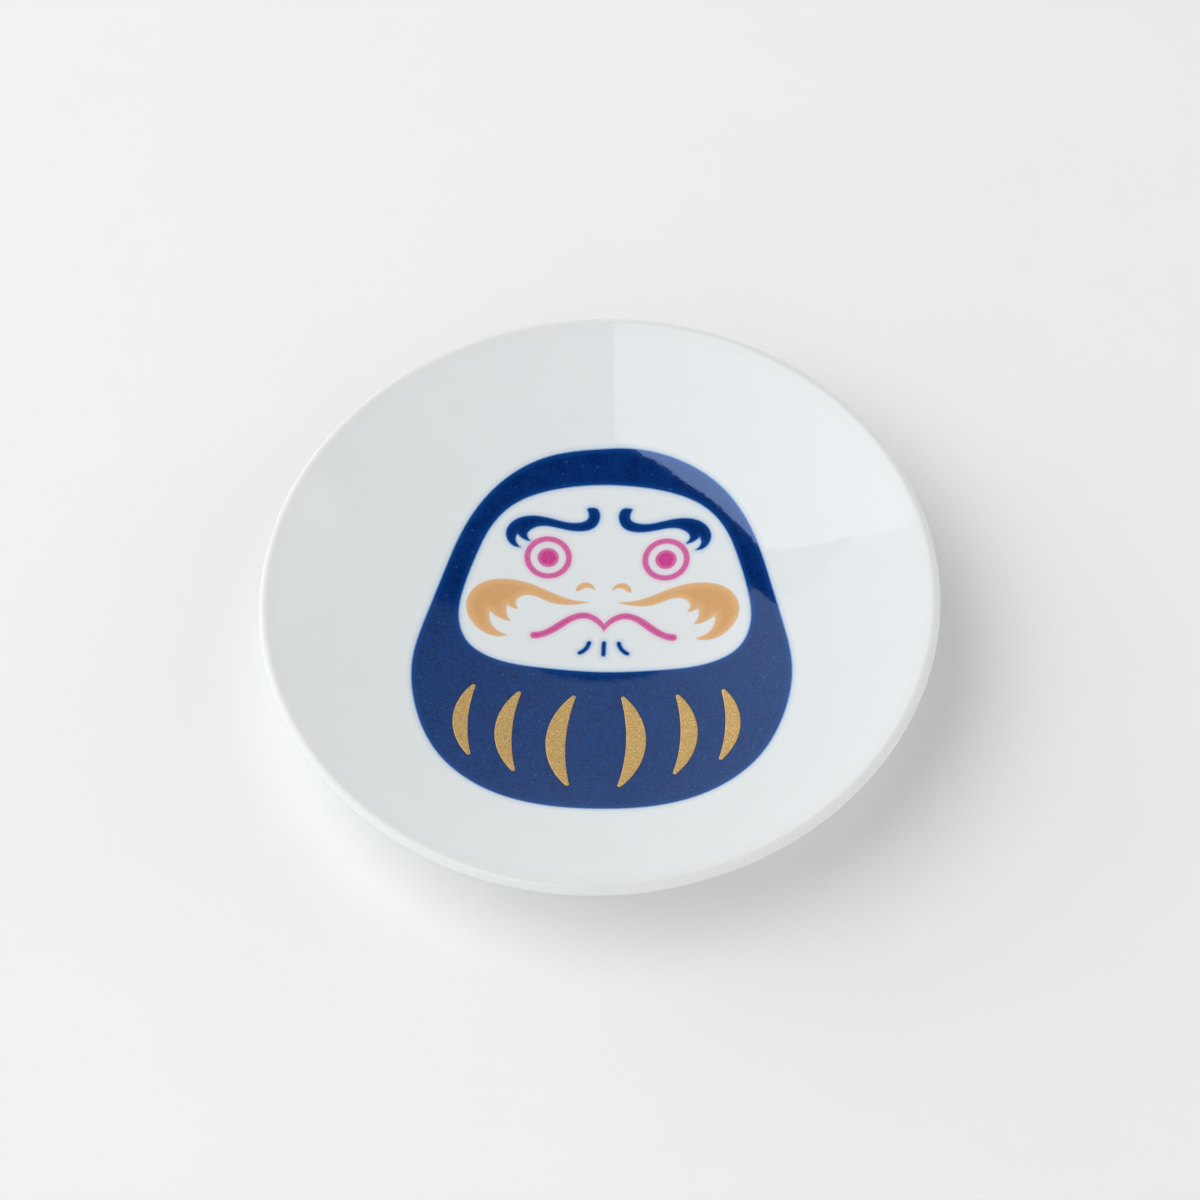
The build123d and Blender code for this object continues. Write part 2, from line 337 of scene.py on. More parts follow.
# %% Sizes of the section, in millimetres
LIP = 1.0
WELL = 129.0
UNDERSIDE = 101.0
GLAZE = 0.25
FOOT_OUTER, FOOT_INNER = 27.0, 24.0
BASE_UP = 4.0
OUTER_FILLET, INNER_FILLET, EDGE_FILLET = 1.5, 2.0, 0.6
GLAZE_LINE = 0.8

DISH_RADIUS = cad_box[1][0] / MM
LIP_R = DISH_RADIUS - LIP
LIP_Z = DISH_HEIGHT / MM - LIP
WELL_CENTRE = LIP_Z + sqrt((WELL + LIP) ** 2 - LIP_R ** 2)
UNDER_CENTRE = LIP_Z + sqrt((UNDERSIDE - LIP) ** 2 - LIP_R ** 2)
print("well floor, mm above the table:", round(WELL_CENTRE - WELL, 3))


# %% The lines of the section
def arc(r, z, radius, start, end, count):
    """Points of an arc: centre + radius * (cos t, sin t), for t evenly from start to end."""
    t = np.linspace(start, end, count)
    return np.column_stack([r + radius * np.cos(t), z + radius * np.sin(t)])


def hanging(centre, radius, r):
    """Points of a ball's underside at distances r from the axis: z = centre - sqrt(radius^2 - r^2)."""
    return np.column_stack([r, centre - np.sqrt(radius ** 2 - r ** 2)])


def outside_line(deep, well_steps, lip_count, count):
    """The section from the middle of the well, over the lip and the underside, to the foot ring's
    outer wall, this deep below the glaze. The lip's arc meets each ball where the line between
    their centres cuts it, and the foot's fillet touches the underside ball and the wall."""
    lip, well, under, wall = LIP - deep, WELL + deep, UNDERSIDE - deep, FOOT_OUTER - deep
    fillet = OUTER_FILLET + deep
    to_well = atan2(WELL_CENTRE - LIP_Z, -LIP_R)
    to_under = atan2(LIP_Z - UNDER_CENTRE, LIP_R)
    fillet_r = wall + fillet
    fillet_z = UNDER_CENTRE - sqrt((under + fillet) ** 2 - fillet_r ** 2)
    fillet_top = atan2(UNDER_CENTRE - fillet_z, -fillet_r)
    well_end = LIP_R + lip * cos(to_well)
    start_r = LIP_R + lip * cos(to_under)
    end_r = fillet_r + fillet * cos(fillet_top)
    return np.concatenate([
        hanging(WELL_CENTRE, well, well_steps(well_end)),
        arc(LIP_R, LIP_Z, lip, to_well, to_under, lip_count),
        hanging(UNDER_CENTRE, under, np.linspace(start_r, end_r, count))[1:-1],
        arc(fillet_r, fillet_z, fillet, fillet_top, pi, count // 2),
        np.column_stack([np.full(4, wall), np.linspace(fillet_z, GLAZE_LINE + GLAZE / 2, 5)[1:]]),
    ])


def inside_line(deep, count):
    """The section inside the foot ring, from the middle of the base to the ring's inner wall."""
    wall, base, fillet = FOOT_INNER + deep, BASE_UP + deep, INNER_FILLET + deep
    flat_end = wall - fillet
    return np.concatenate([
        np.column_stack([np.linspace(0, flat_end, count, endpoint=False), np.full(count, base)]),
        arc(flat_end, base - fillet, fillet, pi / 2, 0, count // 2),
        np.column_stack([np.full(3, wall), np.linspace(base - fillet, GLAZE_LINE + GLAZE / 2, 4)[1:]]),
    ])


# %% [markdown]
# ## Turning a section into a dish
# A revolved surface is a function of two numbers: the place along the section and the angle
# round the axis. All its points come from one array sum, and its faces from one index grid.
# The ends of the line lie on the axis, so each closes as a fan round a single point.
# Blender's Spin tool could do the same, but it leaves doubled points on the axis and seam.


# %% A mesh from arrays, and the revolve
def make_piece(name, points, faces, **attributes):
    """A smooth mesh object from points in mm, and lists of faces turned so that they face outwards:
    the volume, a sixth of the sum of each triangle's triple product, has to be positive."""
    points = np.asarray(points)
    triangles = np.concatenate([face[:, [0, i, i + 1]] for face in faces
                                for i in range(1, face.shape[1] - 1)])
    a, b, c = (points[triangles[:, i]] for i in range(3))
    volume = np.einsum("ij,ij->", a, np.cross(b, c)) / 6
    if volume < 0:
        faces = [face[:, ::-1] for face in faces]
    mesh = bpy.data.meshes.new(name)
    mesh.from_pydata(points * MM, [], [row for face in faces for row in face.tolist()])
    mesh.polygons.foreach_set("use_smooth", np.ones(len(mesh.polygons), bool))
    for key, values in attributes.items():
        mesh.attributes.new(key, "FLOAT", "POINT").data.foreach_set("value", values.astype(np.float32))
    mesh.set_sharp_from_angle(angle=radians(40))
    mesh.update()
    piece = bpy.data.objects.new(name, mesh)
    bpy.context.collection.objects.link(piece)
    print(f"{name}: {len(triangles)} triangles, {abs(volume):.2f} cubic mm")
    return piece


def revolved(line, segments, wave=None):
    """Points (r cos t, r sin t, z) for every r, z of the line and t of the turn; wave adds to z."""
    t = np.arange(segments) * 2 * pi / segments
    r, z = line[1:-1, :1], line[1:-1, 1:]
    rise = wave(r, z, t) if wave else 0
    rings = np.stack([r * np.cos(t), r * np.sin(t), z + rise + 0 * t], -1).reshape(-1, 3)
    points = np.concatenate([rings, [(0, 0, line[0, 1]), (0, 0, line[-1, 1])]])
    index = np.arange(len(rings)).reshape(-1, segments)
    after = np.roll(index, -1, axis=1)
    quads = np.stack([index[:-1], after[:-1], after[1:], index[1:]], -1).reshape(-1, 4)
    first = np.stack([after[0], index[0], np.full(segments, len(rings))], -1)
    last = np.stack([index[-1], after[-1], np.full(segments, len(rings) + 1)], -1)
    return points, [quads, np.concatenate([first, last])]


# %% [markdown]
# ## Clay and clear glaze
# The clay is one solid that shows only on the foot ring's edge, where the glaze is wiped off
# so that the dish doesn't fuse to the kiln shelf. The glaze is a quarter of a millimetre
# thick and ends there in a soft round edge. The sponge never wipes quite straight, so the
# glaze line wanders by a few hundredths of a millimetre round the ring.

# %% Clay body
def even_steps(end):
    return np.linspace(0, end, 40)[:-1]


clay_line = np.concatenate([
    outside_line(GLAZE, even_steps, 12, 16),
    arc(FOOT_OUTER - GLAZE - EDGE_FILLET, EDGE_FILLET, EDGE_FILLET, 0, -pi / 2, 8),
    arc(FOOT_INNER + GLAZE + EDGE_FILLET, EDGE_FILLET, EDGE_FILLET, -pi / 2, -pi, 8),
    inside_line(GLAZE, 12)[::-1],
])
clay_points, clay_faces = revolved(clay_line, 360)
clay_body = make_piece("clay_body", clay_points, clay_faces)

# %% Glaze coats
FINE_REACH, FINE_STEP = 36.0, 0.38       # rings close together under and round the print


def fine_steps(end):
    """Rings every FINE_STEP out to FINE_REACH, where the print's edges are, then wider apart."""
    return np.concatenate([np.arange(0, FINE_REACH, FINE_STEP), np.linspace(FINE_REACH, end, 12)[:-1]])


def wiped_wave(r, z, t):
    """A slow wander of the glaze line: three sines round the ring, full at the line, gone 2 mm above."""
    wander = 0.035 * np.sin(3 * t + 0.4) + 0.025 * np.sin(7 * t + 2.1) + 0.02 * np.sin(16 * t + 4.4)
    low = np.clip((GLAZE_LINE + 2 - z) / 2, 0, 1) * (r < FOOT_OUTER + 1)
    return low * wander


def glaze_coat(outer, inner, edge_r, edge_start, edge_end):
    """The closed coat between two lines, with a half-round edge between their ends."""
    edge = arc(edge_r, GLAZE_LINE + GLAZE / 2, GLAZE / 2, edge_start, edge_end, 7)
    line = np.concatenate([outer, edge[1:-1], inner[::-1]])
    return revolved(line, 448, wiped_wave)


main_points, main_faces = glaze_coat(
    outside_line(0, fine_steps, 24, 24), outside_line(GLAZE, even_steps, 8, 10),
    FOOT_OUTER - GLAZE / 2, 0, -pi)
base_points, base_faces = glaze_coat(
    inside_line(0, 24), inside_line(GLAZE, 6), FOOT_INNER + GLAZE / 2, pi, 2 * pi)
glaze_base = make_piece("clear_glaze_inside_foot", base_points, base_faces)

# %% [markdown]
# ## The outlines of the print
# Each printed mark is a thin solid in the measured model. Its outline is the border of its
# upper face: the edges that belong to one triangle only. From that outline come two things
# that every mark needs: which points lie inside it, and how far each point is from its edge.
# Inside and outside are told apart by counting crossings: a ray from a point inside crosses
# the outline an odd number of times.


# %% Outlines and distances
def rim(triangles):
    """The border of a patch: directed edges whose opposite edge isn't there."""
    edges = np.concatenate([triangles[:, [0, 1]], triangles[:, [1, 2]], triangles[:, [2, 0]]])
    edges = edges.astype(np.int64)
    there = edges[:, 0] << 32 | edges[:, 1]
    opposite = edges[:, 1] << 32 | edges[:, 0]
    return edges[~np.isin(there, opposite)]


def outline_of(node):
    """The plan outline of a mark, as an array of straight pieces [[x, y], [x, y]] in mm."""
    mesh = nodes[node].data
    corners = np.empty(len(mesh.vertices) * 3)
    mesh.vertices.foreach_get("co", corners)
    mesh.calc_loop_triangles()
    triangles = np.empty(len(mesh.loop_triangles) * 3, np.int32)
    mesh.loop_triangles.foreach_get("vertices", triangles)
    places, same = np.unique((corners.reshape(-1, 3) / MM).round(4), axis=0, return_inverse=True)
    triangles = same.reshape(-1)[triangles].reshape(-1, 3)
    a, b, c = (places[triangles[:, i]] for i in range(3))
    across = np.cross(b - a, c - a)
    upward = across[:, 2] > 0.5 * np.linalg.norm(across, axis=1)
    return places[rim(triangles[upward])][:, :, :2]


def to_outline(points, outline):
    """Distance in mm from plan points to the outline, above 0 inside, and the nearest points on it."""
    start, along = outline[:, 0], outline[:, 1] - outline[:, 0]
    length2 = np.maximum((along ** 2).sum(1), 1e-12)
    distance, nearest = np.empty(len(points)), np.empty((len(points), 2))
    for chunk in np.array_split(np.arange(len(points)), len(points) // 4000 + 1):
        from_start = points[chunk, None] - start
        share = np.clip((from_start * along).sum(2) / length2, 0, 1)
        foot = start + share[..., None] * along
        gap2 = ((points[chunk, None] - foot) ** 2).sum(2)
        best = gap2.argmin(1)
        row = np.arange(len(chunk))
        nearest[chunk] = foot[row, best]
        level = points[chunk, None, 1]
        crosses = (outline[:, 0, 1] > level) != (outline[:, 1, 1] > level)
        rise = np.where(crosses, along[:, 1], 1)
        cross_x = start[:, 0] + (level - start[:, 1]) / rise * along[:, 0]
        odd = (crosses & (cross_x > points[chunk, None, 0])).sum(1) % 2 == 1
        distance[chunk] = np.sqrt(gap2[row, best]) * np.where(odd, 1, -1)
    return distance, nearest


marks = {
    "cobalt": [n for n in nodes if n.startswith(("robe", "brow", "chin_mark"))],
    "pink": [n for n in nodes if n.startswith(("eye_ring", "pupil", "mouth"))],
    "ochre": [n for n in nodes if n.startswith(("moustache", "nose_mark"))],
    "gold": [n for n in nodes if n.startswith("gold_fold")],
}
outlines = {node: outline_of(node) for names in marks.values() for node in names}
ink_outline = {ink: np.concatenate([outlines[n] for n in names]) for ink, names in marks.items()}
print("outline pieces:", {ink: len(lines) for ink, lines in ink_outline.items()})

# %% [markdown]
# ## How far the colours bleed
# Cobalt spreads a little in molten glaze, so a pale blue breath surrounds every blue mark,
# and a pink one lies round the eyes. The glaze piece therefore carries, at each of its
# points, the distance to the nearest mark of each colour, and its material reads them.

# %% The well's glaze, with its distances to the print
FAR = 9.0
main_r = np.minimum(np.hypot(main_points[:, 0], main_points[:, 1]), FINE_REACH + 1)
above_well = main_points[:, 2] - hanging(WELL_CENTRE, WELL, main_r)[:, 1]
near_print = (main_r < FINE_REACH + 1) & (np.abs(above_well) < GLAZE / 10)
reaches = {}
for ink in ("cobalt", "pink", "ochre"):
    reach = np.full(len(main_points), FAR)
    reach[near_print] = np.clip(-to_outline(main_points[near_print, :2], ink_outline[ink])[0], -1, FAR)
    reaches["to_" + ink] = reach
glaze_main = make_piece("clear_glaze_well_and_outside", main_points, main_faces, **reaches)

# %% [markdown]
# ## The printed marks
# A mark is a patch of the well's ball. A square grid is laid over its outline in plan, the
# squares that touch the inside are kept, and their outer corners are pulled onto the outline,
# which gives a clean edge without cutting any square. Each point is then dropped onto the
# ball, and a copy of the patch a little deeper closes it into a thin solid.
# The colours lie flush in the glaze, and the gold stands proud of it with a rolled edge.

# %% Marks as patches of the well
INK_PROUD = 0.012           # just enough for the colour to show through the glaze's own surface
INK_DEEP = 0.05
GOLD_PROUD = 0.05
GOLD_EDGE = 0.16            # the gold rises to its full height over this width


def gold_height(inside):
    """Height of the gold above the robe: a quarter circle over the edge's width, then level."""
    share = np.clip(inside / GOLD_EDGE, 0, 1)
    return INK_PROUD + GOLD_PROUD * np.sqrt(1 - (1 - share) ** 2)


def ink_height(inside):
    return np.full(len(inside), INK_PROUD)


def on_ball(plan, height):
    """Plan points dropped onto the ball of the well, this much above its surface."""
    radius = WELL - height
    return np.column_stack([plan, WELL_CENTRE - np.sqrt(radius ** 2 - (plan ** 2).sum(1))])


def plan_patch(outline, pitch):
    """Points and triangles of a square grid trimmed to an outline, and each point's depth inside it."""
    low, high = outline.min((0, 1)) - pitch, outline.max((0, 1)) + pitch
    grid_x, grid_y = np.meshgrid(np.arange(low[0], high[0] + pitch, pitch),
                                 np.arange(low[1], high[1] + pitch, pitch))
    plan = np.column_stack([grid_x.ravel(), grid_y.ravel()])
    inside, nearest = to_outline(plan, outline)
    deep = inside > 0.25 * pitch
    plan = np.where(deep[:, None], plan, nearest)
    inside = np.where(deep, inside, 0)

    index = np.arange(len(plan)).reshape(grid_x.shape)
    squares = np.stack([index[:-1, :-1], index[:-1, 1:], index[1:, 1:], index[1:, :-1]],
                       -1).reshape(-1, 4)
    squares = squares[deep[squares].any(1)]
    p = plan[squares]
    short = np.linalg.norm(p[:, 0] - p[:, 2], axis=1) <= np.linalg.norm(p[:, 1] - p[:, 3], axis=1)
    triangles = np.where(short[:, None, None], squares[:, [[0, 1, 2], [0, 2, 3]]],
                         squares[:, [[0, 1, 3], [1, 2, 3]]]).reshape(-1, 3)

    places, first, same = np.unique(plan.round(4), axis=0, return_index=True, return_inverse=True)
    triangles = same.reshape(-1)[triangles]
    a, b, c = (places[triangles[:, i]] for i in range(3))
    area = ((b - a)[:, 0] * (c - a)[:, 1] - (b - a)[:, 1] * (c - a)[:, 0]) / 2
    triangles = triangles[area > 1e-6]
    used, renumbered = np.unique(triangles, return_inverse=True)
    return places[used], renumbered.reshape(-1, 3), inside[first][used]


def printed_mark(node, pitch, height):
    """The closed solid of a mark: its patch on the ball, the same patch deeper, and the wall between."""
    plan, triangles, inside = plan_patch(outlines[node], pitch)
    count = len(plan)
    points = np.concatenate([on_ball(plan, height(inside)), on_ball(plan, np.full(count, -INK_DEEP))])
    border = rim(triangles)
    wall = np.column_stack([border[:, 1], border[:, 0], border[:, 0] + count, border[:, 1] + count])
    more = {"inside": np.tile(inside, 2)}
    # The distance to the gold places the painted shadow that the robe's material draws round it.
    if node == "robe_blue":
        more["to_gold"] = np.tile(np.clip(-to_outline(plan, ink_outline["gold"])[0], -1, FAR), 2)
    sheets = np.concatenate([triangles, triangles[:, ::-1] + count])
    piece = make_piece(node + "_print", points, [sheets, wall], **more)
    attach(piece, "root")
    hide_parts(node)
    return piece


PITCH = {"cobalt": 0.1, "pink": 0.09, "ochre": 0.1, "gold": 0.08}
ROBE_PITCH = 0.25
pieces = {ink: [printed_mark(node, ROBE_PITCH if node == "robe_blue" else PITCH[ink],
                             gold_height if ink == "gold" else ink_height) for node in names]
          for ink, names in marks.items()}

# %% [markdown]
# ## Glazed porcelain
# The clay fires white and slightly cool, and the clear glaze over it is glass: smooth, with an
# index of refraction near 1.5. A diffuse white under a sharp dielectric gloss gives the eye
# both at once. The glaze runs thin over the lip, which looks whiter, and pools a little
# towards the foot, which looks greener. Its surface has a ripple too low to see except where
# it mirrors an edge. All the printed colours but the gold lie under the same glaze, so one
# function gives every one of them the same ripple.


# %% Glaze ripple and glazed porcelain
def start_material(name):
    """An empty material, its node tree and its output node."""
    material = bpy.data.materials.new(name)
    material.use_nodes = True
    material.node_tree.nodes.clear()
    return material, material.node_tree, add_node(material.node_tree, "OutputMaterial")


SWELL_WIDTH, SWELL_RISE = 4, 0.006          # mm
SKIN_WIDTH, SKIN_RISE = 0.8, 0.0017


def glaze_ripple(tree, place):
    """The glaze's normal: slow swells, and a finer skin on top of them."""
    swell = add_node(tree, "TexNoise", {"Vector": place, "Scale": per(SWELL_WIDTH), "Detail": 1.0})
    skin = add_node(tree, "TexNoise", {"Vector": place, "Scale": per(SKIN_WIDTH), "Detail": 1.5})
    slow = add_node(tree, "Bump", {"Strength": 1.0, "Distance": SWELL_RISE * MM,
                                   "Height": swell.outputs[0]})
    return add_node(tree, "Bump", {"Strength": 1.0, "Distance": SKIN_RISE * MM,
                                   "Height": skin.outputs[0], "Normal": slow.outputs[0]}).outputs[0]


GLAZE_ROUGHNESS = 0.03
GLAZE_IOR = 1.45            # the clear feldspar glaze
INK_IOR = 1.6               # the metal oxides of the colours make their glass heavier


def bleed(tree, attribute, start, end, amount, place, grain):
    """How much of an ink has crept this far: the most at its start, none at its end, and uneven."""
    away = add_node(tree, "Attribute", attribute_name=attribute)
    uneven = add_node(tree, "TexNoise", {"Vector": place, "Scale": per(grain), "Detail": 2.0})
    wander = add_node(tree, "Math", {0: uneven.outputs[0], 1: 0.4 * (end - start),
                                     2: -0.2 * (end - start)}, operation="MULTIPLY_ADD")
    moved = add_node(tree, "Math", {0: away.outputs["Fac"], 1: wander.outputs[0]}, operation="ADD")
    return add_node(tree, "MapRange", {"Value": moved.outputs[0], "From Min": start, "From Max": end,
                                       "To Min": amount, "To Max": 0.0},
                    interpolation_type="SMOOTHERSTEP").outputs[0]


porcelain, tree, out = start_material("clear_glaze_over_white_porcelain")
place = add_node(tree, "TexCoord").outputs["Object"]
height = add_node(tree, "SeparateXYZ", {0: place}).outputs[2]
mottle = add_node(tree, "TexNoise", {"Vector": place, "Scale": per(5), "Detail": 4.0})
body = add_node(tree, "Mix", {0: mottle.outputs[0], MIX_A: colour("#e8edef"), MIX_B: colour("#ebf0f3")},
                data_type="RGBA")
at_lip = add_node(tree, "MapRange", {"Value": height, "From Min": 16.0 * MM, "From Max": 16.9 * MM},
                  interpolation_type="SMOOTHSTEP")
lipped = add_node(tree, "Mix", {0: at_lip.outputs[0], MIX_A: body.outputs[MIX_OUT],
                                MIX_B: colour("#e9ecec")}, data_type="RGBA")
at_foot = add_node(tree, "MapRange", {"Value": height, "From Min": 3.6 * MM, "From Max": 0.9 * MM},
                   interpolation_type="SMOOTHSTEP")
pooled = add_node(tree, "Mix", {0: at_foot.outputs[0], MIX_A: lipped.outputs[MIX_OUT],
                                MIX_B: colour("#d3dcd8")}, data_type="RGBA")
tinted = pooled.outputs[MIX_OUT]
for attribute, start, end, amount, grain_size, tint in (
        ("to_cobalt", 0.0, 1.1, 0.5, 0.4, "#b3cbe6"),
        ("to_cobalt", -0.04, 0.32, 0.8, 0.3, "#4577ba"),
        ("to_pink", 0.0, 0.9, 0.3, 0.4, "#dcb3cc"),
        ("to_pink", -0.04, 0.2, 0.7, 0.3, "#d681b1"),
        ("to_ochre", -0.04, 0.24, 0.65, 0.3, "#e2b78b")):
    tinted = add_node(tree, "Mix", {0: bleed(tree, attribute, start, end, amount, place, grain_size),
                                    MIX_A: tinted, MIX_B: colour(tint)},
                      data_type="RGBA").outputs[MIX_OUT]
skin = add_node(tree, "BsdfPrincipled", {
    "Base Color": tinted, "Roughness": GLAZE_ROUGHNESS, "IOR": GLAZE_IOR, "Specular IOR Level": 0.4,
    "Normal": glaze_ripple(tree, place)})
tree.links.new(skin.outputs[0], out.inputs[0])
print("glazed porcelain:", len(tree.nodes), "nodes")

# %% [markdown]
# ## Cobalt under glaze
# Cobalt oxide gives a deep, slightly cloudy blue. The colour is a powder held in the glaze, so
# up close it is a mix of darker and lighter grains under half a millimetre across, with a few
# pale specks where a grain is missing. Its edge is thinner, so it is a clearer, brighter blue.
# The lower half of the robe is a little lighter than the hood. The blue glass mirrors
# more than the clear glaze does, and its mirror image is bluish.
# A thin line of painted shadow darkens the robe along the gold's edge.

# %% Cobalt print
cobalt, tree, out = start_material("cobalt_blue_print_under_glaze")
place = add_node(tree, "TexCoord").outputs["Object"]
inside = add_node(tree, "Attribute", attribute_name="inside").outputs["Fac"]
grains = add_node(tree, "TexNoise", {"Vector": place, "Scale": per(0.42), "Detail": 3.0,
                                     "Roughness": 0.7})
grain = add_node(tree, "MapRange", {"Value": grains.outputs[0], "From Min": 0.36, "From Max": 0.66})
clouds = add_node(tree, "TexNoise", {"Vector": place, "Scale": per(2.5), "Detail": 3.0})
cloud = add_node(tree, "MapRange", {"Value": clouds.outputs[0], "From Min": 0.35, "From Max": 0.65})
hood = add_node(tree, "Mix", {0: grain.outputs[0], MIX_A: colour("#001b58"), MIX_B: colour("#00327a")},
                data_type="RGBA")
robe = add_node(tree, "Mix", {0: grain.outputs[0], MIX_A: colour("#061e56"), MIX_B: colour("#0a4082")},
                data_type="RGBA")
along_y = add_node(tree, "SeparateXYZ", {0: place}).outputs[1]
lower = add_node(tree, "MapRange", {"Value": along_y, "From Min": 4 * MM, "From Max": -8 * MM},
                 interpolation_type="SMOOTHSTEP")
core = add_node(tree, "Mix", {0: lower.outputs[0], MIX_A: hood.outputs[MIX_OUT],
                              MIX_B: robe.outputs[MIX_OUT]}, data_type="RGBA")
cloudy = add_node(tree, "Mix", {0: add_node(tree, "Math", {0: cloud.outputs[0], 1: 0.35},
                                            operation="MULTIPLY").outputs[0],
                                MIX_A: core.outputs[MIX_OUT], MIX_B: colour("#0a3f84")},
                  data_type="RGBA")
wander = add_node(tree, "Math", {0: grains.outputs[0], 1: 0.5, 2: -0.25}, operation="MULTIPLY_ADD")
ragged = add_node(tree, "Math", {0: inside, 1: wander.outputs[0]}, operation="ADD")
thin = add_node(tree, "MapRange", {"Value": ragged.outputs[0], "From Min": 0.0, "From Max": 0.95,
                                   "To Min": 0.7, "To Max": 0.0}, interpolation_type="SMOOTHSTEP")
edged = add_node(tree, "Mix", {0: thin.outputs[0], MIX_A: cloudy.outputs[MIX_OUT],
                               MIX_B: colour("#0a4894")}, data_type="RGBA")
brink = add_node(tree, "MapRange", {"Value": inside, "From Min": 0.0, "From Max": 0.16,
                                    "To Min": 0.45, "To Max": 0.0})
soft_edge = add_node(tree, "Mix", {0: brink.outputs[0], MIX_A: edged.outputs[MIX_OUT],
                                   MIX_B: colour("#2f66b0")}, data_type="RGBA")
cells = add_node(tree, "TexVoronoi", {"Vector": place, "Scale": per(1.6)}, feature="F1")
speck = add_node(tree, "MapRange", {"Value": cells.outputs["Distance"], "From Min": 0.04,
                                    "From Max": 0.14, "To Min": 0.5, "To Max": 0.0})
specked = add_node(tree, "Mix", {0: speck.outputs[0], MIX_A: soft_edge.outputs[MIX_OUT],
                                 MIX_B: colour("#3f6cae")}, data_type="RGBA")
# Painted shadow: within about a fifth of a millimetre of the gold the robe is darkened towards
# near-black, a thin line of shade along the gold's raised edge.
away = add_node(tree, "Attribute", attribute_name="to_gold").outputs["Fac"]
painted_gold_shadow = add_node(tree, "MapRange", {"Value": away, "From Min": 0.03, "From Max": 0.22,
                                    "To Min": 0.7, "To Max": 0.0})
has_gold = add_node(tree, "Attribute", attribute_name="has_gold").outputs["Fac"]
robe_with_painted_shadow = add_node(tree, "Mix", {0: add_node(tree, "Math", {0: painted_gold_shadow.outputs[0], 1: has_gold},
                                            operation="MULTIPLY").outputs[0],
                                MIX_A: specked.outputs[MIX_OUT], MIX_B: colour("#1c1a3a")},
                  data_type="RGBA")
skin = add_node(tree, "BsdfPrincipled", {
    "Base Color": robe_with_painted_shadow.outputs[MIX_OUT], "Roughness": GLAZE_ROUGHNESS, "IOR": INK_IOR,
    "Specular IOR Level": 1.0, "Specular Tint": colour("#b8d4ff"),
    "Normal": glaze_ripple(tree, place)})
tree.links.new(skin.outputs[0], out.inputs[0])
print("cobalt print:", len(tree.nodes), "nodes")
# Only the robe carries gold, so only the robe gets the painted shadow round the gold.
for piece in pieces["cobalt"]:
    flag = piece.data.attributes.new("has_gold", "FLOAT", "POINT")
    value = float("robe" in piece.name)
    flag.data.foreach_set("value", np.full(len(piece.data.vertices), value, np.float32))

# %% [markdown]
# ## Pink and ochre under glaze
# Both are body stains milled into the printing ink. They sit as fine grain in the glaze, a
# little lighter at the edge, where the ink is thin. The pupils took two passes of pink, so
# they are stronger than the rings and strongest in the middle.


# %% Pink and ochre prints
def stain(name, light, strong, edge, edge_width, deep_from, deep_to, grain_size):
    """A stain under the glaze: grain between two tones, stronger further inside, lighter at its edge."""
    material, tree, out = start_material(name)
    place = add_node(tree, "TexCoord").outputs["Object"]
    inside = add_node(tree, "Attribute", attribute_name="inside").outputs["Fac"]
    grains = add_node(tree, "TexNoise", {"Vector": place, "Scale": per(grain_size), "Detail": 2.0})
    grain = add_node(tree, "MapRange", {"Value": grains.outputs[0], "From Min": 0.3, "From Max": 0.7,
                                        "To Min": -0.4, "To Max": 0.4})
    deep = add_node(tree, "MapRange", {"Value": inside, "From Min": deep_from, "From Max": deep_to},
                    interpolation_type="SMOOTHSTEP")
    strength = add_node(tree, "Math", {0: deep.outputs[0], 1: grain.outputs[0]}, operation="ADD",
                        use_clamp=True)
    body = add_node(tree, "Mix", {0: strength.outputs[0], MIX_A: colour(light), MIX_B: colour(strong)},
                    data_type="RGBA")
    thin = add_node(tree, "MapRange", {"Value": inside, "From Min": 0.0, "From Max": edge_width,
                                       "To Min": 0.6, "To Max": 0.0}, interpolation_type="SMOOTHSTEP")
    edged = add_node(tree, "Mix", {0: thin.outputs[0], MIX_A: body.outputs[MIX_OUT],
                                   MIX_B: colour(edge)}, data_type="RGBA")
    skin = add_node(tree, "BsdfPrincipled", {
        "Base Color": edged.outputs[MIX_OUT], "Roughness": GLAZE_ROUGHNESS, "IOR": INK_IOR,
        "Normal": glaze_ripple(tree, place)})
    tree.links.new(skin.outputs[0], out.inputs[0])
    print(f"{name}: {len(tree.nodes)} nodes")
    return material


pink = stain("pink_print_under_glaze", "#dc70ac", "#d14594", "#e08fbe", 0.12, 0.26, 0.55, 0.35)
ochre = stain("ochre_print_under_glaze", "#e9ba88", "#dfab74", "#ebc69e", 0.22, 0.1, 1.4, 0.3)

# %% [markdown]
# ## Matt gold on the glaze
# Gold for pottery is painted or printed as a paste of fine gold in oil and fired at a low
# heat. Unpolished, it is a satin metal with a sandy grain a fifth of a millimetre across,
# between olive, tan and a warmer orange. Being metal, it takes its colour from the metallic
# reflection alone, and its roughness spreads that reflection wide.

